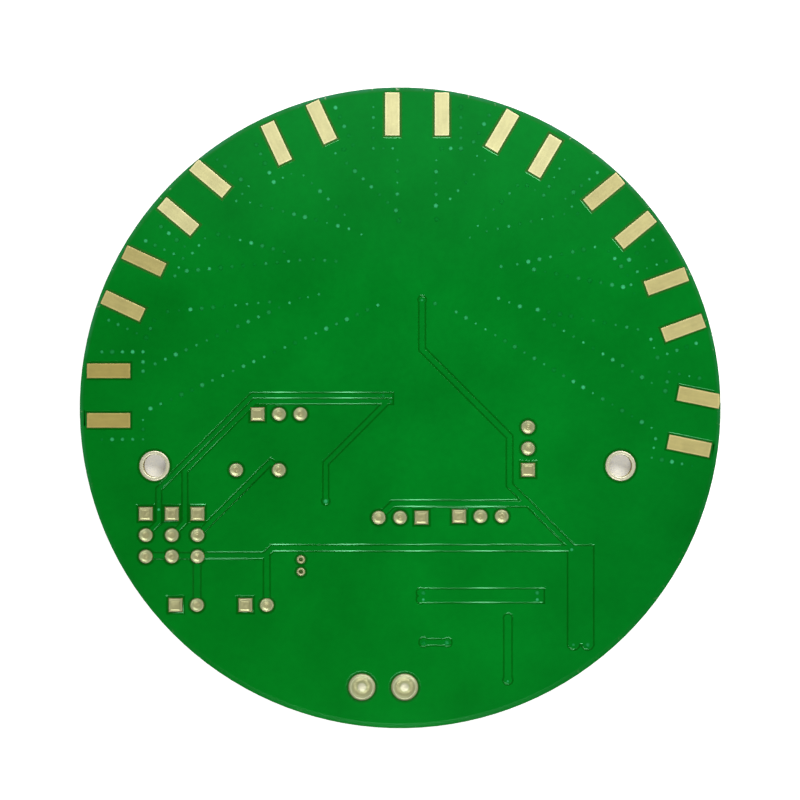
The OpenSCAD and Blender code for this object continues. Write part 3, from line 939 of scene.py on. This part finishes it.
# %% Geometry Nodes helpers
def new_tree(name, kinds):
    """A tree with these inputs, and the sockets they come in by."""
    tree = bpy.data.node_groups.new(name, "GeometryNodeTree")
    for label, kind in kinds.items():
        tree.interface.new_socket(name=label, in_out="INPUT", socket_type="NodeSocket" + kind)
    return tree, add(tree, "NodeGroupInput").outputs


def stored(tree, flow, name, value, domain):
    return add(tree, "GeometryNodeStoreNamedAttribute", {
        "Geometry": flow, "Name": name, "Value": value},
        data_type="FLOAT", domain=domain).outputs["Geometry"]


def named(tree, name):
    return add(tree, "GeometryNodeInputNamedAttribute", {"Name": name},
               data_type="FLOAT").outputs["Attribute"]


def random_value(tree, low, high, seed):
    return add(tree, "FunctionNodeRandomValue", {2: low, 3: high, "Seed": seed},
               data_type="FLOAT").outputs[1]


def realised(tree, flow):
    return add(tree, "GeometryNodeRealizeInstances", {"Geometry": flow}).outputs["Geometry"]


def end_tree(tree, name, flow, finish):
    """Gives the result its finish and its way out of the tree."""
    tree.interface.new_socket(name=name, in_out="OUTPUT", socket_type="NodeSocketGeometry")
    flow = add(tree, "GeometryNodeSetMaterial", {
        "Geometry": flow, "Material": finish}).outputs["Geometry"]
    add(tree, "NodeGroupOutput", {0: flow})
    print("tree", tree.name, "has", len(tree.nodes), "nodes")


def grown(name, places, height, tree, values, replaced, smooth_angle):
    """Runs a tree on these places at one height, and keeps the result as a plain mesh."""
    dots = bpy.data.meshes.new(name + "_places")
    dots.from_pydata([(x, y, height) for x, y in places], [], [])
    source = plain_object(name + "_places", dots)
    modifier = source.modifiers.new("tree", "NODES")
    modifier.node_group = tree
    for item in tree.interface.items_tree:
        if item.name in values:
            modifier[item.identifier] = values[item.name]
    graph = bpy.context.evaluated_depsgraph_get()
    mesh = bpy.data.meshes.new_from_object(source.evaluated_get(graph))
    mesh.name = name
    source.modifiers.remove(modifier)
    bpy.data.objects.remove(source)
    finish_piece(name, mesh, values["Finish"], replaced, smooth_angle)


# %% [markdown]
# ### The tree that sets a joint on each land
# Real joints are alike but never the same. The tree puts the shape on each land, draws a depth
# for its dish and a height for its bump, and shifts every point by a noise that belongs to its
# place, so that no two joints have the same dents or quite the same outline.

# %% Joint tree
OWN_DISH = (0.1, 1.0)
OWN_BUMP = (-0.6, 1.0)
NEXT_SEED = 7.0
NOISE_SPAN = 4.0


def joint_tree():
    tree, inputs = new_tree("solder_joints", {
        "Land Centres": "Geometry", "Joint Shape": "Object", "Dent Depth": "Float",
        "Dents Per Metre": "Float", "Outline Wobble": "Float", "Deepest Dish": "Float",
        "Highest Bump": "Float", "Seed": "Int", "Finish": "Material"})
    shape = add(tree, "GeometryNodeObjectInfo", {"Object": inputs["Joint Shape"]})
    flow = add(tree, "GeometryNodeInstanceOnPoints", {
        "Points": inputs["Land Centres"], "Instance": shape.outputs["Geometry"]}).outputs[0]
    later = maths(tree, "ADD", inputs["Seed"], NEXT_SEED)
    own_dish = random_value(tree, *OWN_DISH, inputs["Seed"])
    flow = stored(tree, flow, "own_dish", own_dish, "INSTANCE")
    flow = stored(tree, flow, "own_bump", random_value(tree, *OWN_BUMP, later), "INSTANCE")
    flow = realised(tree, flow)
    here = add(tree, "GeometryNodeInputPosition").outputs[0]
    dents = add(tree, "ShaderNodeTexNoise", {
        "Vector": here, "Scale": inputs["Dents Per Metre"], "Detail": 2.0})
    shift = add(tree, "ShaderNodeVectorMath", {0: dents.outputs["Color"], 1: (0.5, 0.5, 0.5)},
                operation="SUBTRACT").outputs[0]
    parts = add(tree, "ShaderNodeSeparateXYZ", {"Vector": shift}).outputs
    depth = maths(tree, "MULTIPLY", inputs["Dent Depth"], NOISE_SPAN)
    width = maths(tree, "MULTIPLY", inputs["Outline Wobble"], NOISE_SPAN)
    up = maths(tree, "MULTIPLY", maths(tree, "MULTIPLY", parts["Z"], depth), named(tree, "slack"))
    down = maths(tree, "MULTIPLY", inputs["Deepest Dish"],
                 maths(tree, "MULTIPLY", named(tree, "dish"), named(tree, "own_dish")))
    knob = maths(tree, "MULTIPLY", inputs["Highest Bump"],
                 maths(tree, "MULTIPLY", named(tree, "middle"), named(tree, "own_bump")))
    offset = add(tree, "ShaderNodeCombineXYZ", {
        "X": maths(tree, "MULTIPLY", parts["X"], width),
        "Y": maths(tree, "MULTIPLY", parts["Y"], width),
        "Z": maths(tree, "ADD", maths(tree, "SUBTRACT", up, down), knob)}).outputs[0]
    flow = add(tree, "GeometryNodeSetPosition", {
        "Geometry": flow, "Offset": offset}).outputs["Geometry"]
    end_tree(tree, "Joints", flow, inputs["Finish"])
    return tree


joints = joint_tree()

# %% [markdown]
# ### Solder on every land
# Three kinds of joint fill their holes: round and square ones on the header lands, and big
# ones on the power lands, whose middles stand thick and are painted bright. Each has a profile,
# measured in shares of its radius and height, and a tone that runs along it and paints its
# sheen. The heights are a little less than in CAD, so that no bump passes the CAD box.

# %% Filled joints
ROUND = [(0, 0.22), (0.3, 0.22), (0.45, 0.29), (0.62, 0.62), (0.76, 0.93), (0.85, 1.0),
         (0.944, 0.93), (1, 0)]
SQUARE = [(0, 0.42), (0.5, 0.42), (0.62, 0.52), (0.78, 0.9), (0.86, 1.0), (0.944, 0.95), (1, 0)]
POWER = [(0, 0.74), (0.24, 0.72), (0.36, 0.60), (0.5, 0.52), (0.64, 0.58), (0.78, 0.9),
         (0.85, 1.0), (0.92, 0.84), (0.97, 0.45), (1, 0)]
# The tones paint each joint's sheen: paler rims and bright middles.
ROUND_TONE = [(0, 0.1), (0.35, 0.1), (0.6, 0.8), (0.9, 1.0), (1, 0.8)]
SQUARE_TONE = [(0, 0.1), (0.62, 0.2), (0.8, 0.6), (1, 0.6)]
POWER_TONE = [(0, 2), (0.27, 1.9), (0.4, 0.4), (0.66, 0.4), (0.8, 1.25), (1, 1.25)]
PLUG_FIT = 0.98
JOINT_WOBBLE = 0.014 * MM
JOINT_DENTS_PER_METRE = 1000.0
CIRCLE = 2
ROUNDED_SQUARE = 12


def land_radius(node):
    low, high = islands(node)[0]
    return (high.x - low.x) / 2


def land_hole(node):
    """The radius of the hole in a plated land: its innermost points."""
    low, high = islands(node)[0]
    middle = (low + high) / 2
    return min((v.co - middle).xy.length for v in nodes[node].data.vertices)


def set_on_lands(name, node, shape, seed, wobble, dent, dents_per_metre, dish=0.0, knob=0.0):
    grown(name, centres(islands(node)), copper_top, joints, {
        "Joint Shape": shape, "Dent Depth": dent, "Dents Per Metre": dents_per_metre,
        "Outline Wobble": wobble, "Deepest Dish": dish, "Highest Bump": knob,
        "Seed": seed, "Finish": solder_dull}, [node], smooth_angle=50)
    bpy.data.objects.remove(shape)


def filled_joints(name, node, lands, profile, tone, corner, share, seed, dent, dish, knob):
    low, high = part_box(node)
    shape = joint_shape(name + "_shape", land_radius(node), (high[2] - copper_top) * share,
                        profile, tone, corner, land_hole(lands) * PLUG_FIT,
                        low[2] - copper_top)
    set_on_lands(name, node, shape, seed, JOINT_WOBBLE, dent, JOINT_DENTS_PER_METRE, dish, knob)


filled_joints("round_joints", "round_solder", "header_b_lands", ROUND, ROUND_TONE, CIRCLE,
              share=0.9, seed=3, dent=0.015 * MM, dish=0.04 * MM, knob=0.08 * MM)
filled_joints("square_joints", "square_solder", "header_b_lands", SQUARE, SQUARE_TONE,
              ROUNDED_SQUARE, share=0.8, seed=4, dent=0.014 * MM, dish=0.04 * MM,
              knob=0.03 * MM)
filled_joints("power_joints", "power_solder", "power_lands", POWER, POWER_TONE, CIRCLE,
              share=0.9, seed=5, dent=0.026 * MM, dish=0.01 * MM, knob=0.02 * MM)

# %% [markdown]
# ### Solder round the open holes
# The mounting rings are broad and bright, and the small ones thin and dull. Their holes stay
# open, so the same tree sets ring shapes with neither a dish nor a bump.

# %% Rings of solder
RING = [(0, 0.1), (0.12, 0.7), (0.3, 1.0), (0.7, 0.96), (0.88, 0.7), (1, 0.0)]
RING_WOBBLE = 0.012 * MM
RING_DENT = 0.005 * MM
RING_DENTS_PER_METRE = 900.0
RING_SEED = 2


def solder_rings(name, node, lands, share, tone):
    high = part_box(node)[1][2]
    shape = ring_shape(name + "_shape", land_hole(lands), land_radius(node),
                       (high - copper_top) * share, RING, tone)
    set_on_lands(name, node, shape, RING_SEED, RING_WOBBLE, RING_DENT, RING_DENTS_PER_METRE)


solder_rings("mounting_rings", "mounting_solder", "mounting_lands", share=0.5, tone=2.0)
solder_rings("small_rings", "small_solder", "small_lands", share=0.85, tone=0.8)

# %% [markdown]
# ## Tented vias
# Each via is drilled, plated and then tented by the mask. The film sags or blisters over the
# hole, and its curve catches the light: the finish paints that as a small pale spot, a painted
# highlight on its crown, with painted shade just round it. The finish starts from the same
# green as the film, so that a faint spot melts into its surroundings.

# %% Via spot finish
# Painted highlight on each via's crown and painted shade round its foot.
BLISTER_HIGHLIGHT = (0.05, 0.50, 0.19)
BLISTER_FOOT_SHADE = (0.6, 0.76, 0.7)
BLISTER_CROWN = (1, 0.95, 1)


def spot_finish():
    mat, tree, shader = new_finish("via_film_painted_glint")
    at = object_coords(tree)
    crown = attribute(tree, "crown")
    strong = maths(tree, "MULTIPLY", maths(tree, "POWER", attribute(tree, "paleness"), 1.6),
                   maths(tree, "POWER", crown, 2.0))
    base = film_green(tree, at, add(tree, "ShaderNodeSeparateXYZ", {"Vector": at}))
    foot_shade = ramp(tree, crown, [(0.0, (1, 1, 1)), (0.25, BLISTER_FOOT_SHADE), (0.6, BLISTER_FOOT_SHADE),
                              (1.0, BLISTER_CROWN)])
    colour = blend(tree, strong, tinted(tree, base, foot_shade), BLISTER_HIGHLIGHT)
    tree.links.new(colour, shader.inputs["Base Color"])
    shader.inputs["Roughness"].default_value = 0.3
    shader.inputs["Specular IOR Level"].default_value = 0.4
    shader.inputs["Specular Tint"].default_value = (0.1, 1.0, 0.6, 1.0)
    return mat


via_film = spot_finish()
print("finish:", via_film.name)

# %% [markdown]
# ### A blister on every via
# One flat cone is instanced on every via by Geometry Nodes, with its own size and strength of
# painted highlight, so that the fences look as uneven as real ones. It is sunk a little into the
# film on both sides of the board, so that no gap shows under its edge.

# %% Via tree
BLISTER_RADIUS = 0.34 * MM
BLISTER_RISE = 0.01 * MM
BLISTER_SIDES = 14
CROWN_SHARE = 0.46
OWN_SIZE = (0.5, 1.1)
NEXT_VIA_SEED = 6.0


def via_tree():
    tree, inputs = new_tree("tented_vias", {
        "Via Centres": "Geometry", "Blister Radius": "Float", "Blister Rise": "Float",
        "Seed": "Int", "Finish": "Material"})
    crown = maths(tree, "MULTIPLY", inputs["Blister Radius"], CROWN_SHARE)
    blister = add(tree, "GeometryNodeMeshCone", {
        "Vertices": BLISTER_SIDES, "Radius Top": crown,
        "Radius Bottom": inputs["Blister Radius"],
        "Depth": inputs["Blister Rise"]}).outputs["Mesh"]
    here = add(tree, "GeometryNodeInputPosition").outputs[0]
    height = add(tree, "ShaderNodeSeparateXYZ", {"Vector": here}).outputs["Z"]
    half_way = maths(tree, "MULTIPLY", inputs["Blister Rise"], 0.5)
    on_crown = maths(tree, "GREATER_THAN", height, half_way)
    blister = stored(tree, blister, "crown", on_crown, "POINT")
    flow = add(tree, "GeometryNodeInstanceOnPoints", {
        "Points": inputs["Via Centres"], "Instance": blister,
        "Scale": random_value(tree, *OWN_SIZE, inputs["Seed"])}).outputs[0]
    later = maths(tree, "ADD", inputs["Seed"], NEXT_VIA_SEED)
    flow = stored(tree, flow, "paleness", random_value(tree, 0.0, 1.0, later), "INSTANCE")
    end_tree(tree, "Vias", realised(tree, flow), inputs["Finish"])
    return tree


vias = via_tree()
via_places = centres(islands("ground_vias")) + centres(islands("signal_vias"))
SUNK = 0.002 * MM
for name, level, seed in (("front_tented_vias", mask_top - SUNK, 5),
                          ("back_tented_vias", SUNK - BLISTER_RISE, 8)):
    grown(name, via_places, level, vias, {
        "Blister Radius": BLISTER_RADIUS, "Blister Rise": BLISTER_RISE, "Seed": seed,
        "Finish": via_film}, None, smooth_angle=60)
print("tented vias", len(via_places))

# %% [markdown]
# ## Floor
# The board lies on white paper. To the camera the paper also glows a little outside the board,
# which makes the background clean white and still keeps the board's shadow. Through the open
# holes the camera sees paper in the board's shade, and there the glow is painted light: weaker
# under the board, and tinted olive under its middle.

# %% Floor
FLOOR_HALF = 0.6
FLOOR_Z = -0.01 * MM
MIDDLE_ENDS = (23 * MM, 26 * MM)
GLOW_STARTS = (board_r - 1.5 * MM, board_r - 1 * MM)
PAPER = (0.86, 0.86, 0.84, 1)
# Painted light: an olive glow for the camera in the holes under the middle of the board.
OLIVE_HOLE_GLOW = (0.45, 1.0, 0.22)
GLOW_INSIDE = 0.1
GLOW_UNDER_RIM = 0.2
GLOW_OUTSIDE = 0.52
floor_mesh = bpy.data.meshes.new("floor")
floor_mesh.from_pydata([(-FLOOR_HALF, -FLOOR_HALF, FLOOR_Z), (FLOOR_HALF, -FLOOR_HALF, FLOOR_Z),
                        (FLOOR_HALF, FLOOR_HALF, FLOOR_Z), (-FLOOR_HALF, FLOOR_HALF, FLOOR_Z)],
                       [], [(0, 1, 2, 3)])
floor = plain_object("floor", floor_mesh)
paper = bpy.data.materials.new("white_paper")
paper.use_nodes = True
tree = paper.node_tree
tree.nodes.clear()
spread = add(tree, "ShaderNodeVectorMath", {0: object_coords(tree)},
             operation="LENGTH").outputs["Value"]
outer_part = span(tree, spread, *MIDDLE_ENDS, 0.0, 1.0)
shade = blend(tree, outer_part, OLIVE_HOLE_GLOW, (1, 1, 1))
inside = span(tree, outer_part, 0.0, 1.0, GLOW_INSIDE, GLOW_UNDER_RIM)
outside = span(tree, spread, *GLOW_STARTS, 0.0, GLOW_OUTSIDE)
matte = add(tree, "ShaderNodeBsdfDiffuse", {"Color": PAPER})
glow = add(tree, "ShaderNodeEmission", {
    "Color": shade, "Strength": maths(tree, "ADD", inside, outside)})
lit = add(tree, "ShaderNodeAddShader", {0: matte.outputs[0], 1: glow.outputs[0]})
camera_ray = add(tree, "ShaderNodeLightPath").outputs["Is Camera Ray"]
seen = add(tree, "ShaderNodeMixShader", {0: camera_ray, 1: matte.outputs[0], 2: lit.outputs[0]})
add(tree, "ShaderNodeOutputMaterial", {"Surface": seen.outputs[0]})
floor_mesh.materials.append(paper)
print("floor %.1f m wide" % (2 * FLOOR_HALF))

# %% [markdown]
# ## Light
# A glossy board mirrors its lamps, so they stay off the line that the camera sees in it. One
# long box behind the board lights it evenly, and a faint one stands in front, to the right. A
# row of thin strips in front shows only as short glints along the soft shoulders of the tracks.

# %% Lights
STRIPS_EACH_SIDE = 3
STRIP_PITCH = 0.0162
MIDDLE_STRIP = 0.0037


def soft_box(name, place, size, power, target=(0, 0, 0)):
    data = bpy.data.lights.new(name, "AREA")
    data.shape = "RECTANGLE"
    data.size, data.size_y = size
    data.energy = power
    lamp = plain_object(name, data)
    lamp.location = place
    lamp.rotation_euler = (Vector(target) - Vector(place)).to_track_quat("-Z", "Y").to_euler()


soft_box("back_light", place=(0.075, 0.2275, 0.2475), size=(0.40, 0.07), power=1.015)
soft_box("side_light", place=(0.095, -0.145, 0.28), size=(0.022, 0.12), power=0.005)
for step in range(-STRIPS_EACH_SIDE, STRIPS_EACH_SIDE + 1):
    across = MIDDLE_STRIP + STRIP_PITCH * step
    soft_box("front_strip_%d" % (step + STRIPS_EACH_SIDE + 1), place=(across, -0.165, 0.286),
             size=(0.005, 0.17), power=0.045, target=(across, 0, 0))
print("lamps", len(bpy.data.lights))

# %% [markdown]
# ### The sky
# The world's colour follows how high a ray looks, from 0 at the horizon to 1 overhead. It is
# grey low down, which fills the shade and shows at the edges, and nearly black overhead, where
# the glossy board mirrors it to the camera.

# %% Sky
SKY = [(0.0, 0.56), (0.62, 0.4), (0.82, 0.05), (0.97, 0.03)]
world = bpy.data.worlds.new("studio")
bpy.context.scene.world = world
world.use_nodes = True
tree = world.node_tree
way = add(tree, "ShaderNodeTexCoord").outputs["Generated"]
height = add(tree, "ShaderNodeSeparateXYZ", {"Vector": way}).outputs["Z"]
sky = ramp(tree, height, [(place, (grey, grey, grey)) for place, grey in SKY])
tree.links.new(sky, tree.nodes["Background"].inputs["Color"])
tree.nodes["Background"].inputs["Strength"].default_value = 1.0
print("sky from", SKY[0][1], "to", SKY[-1][1])
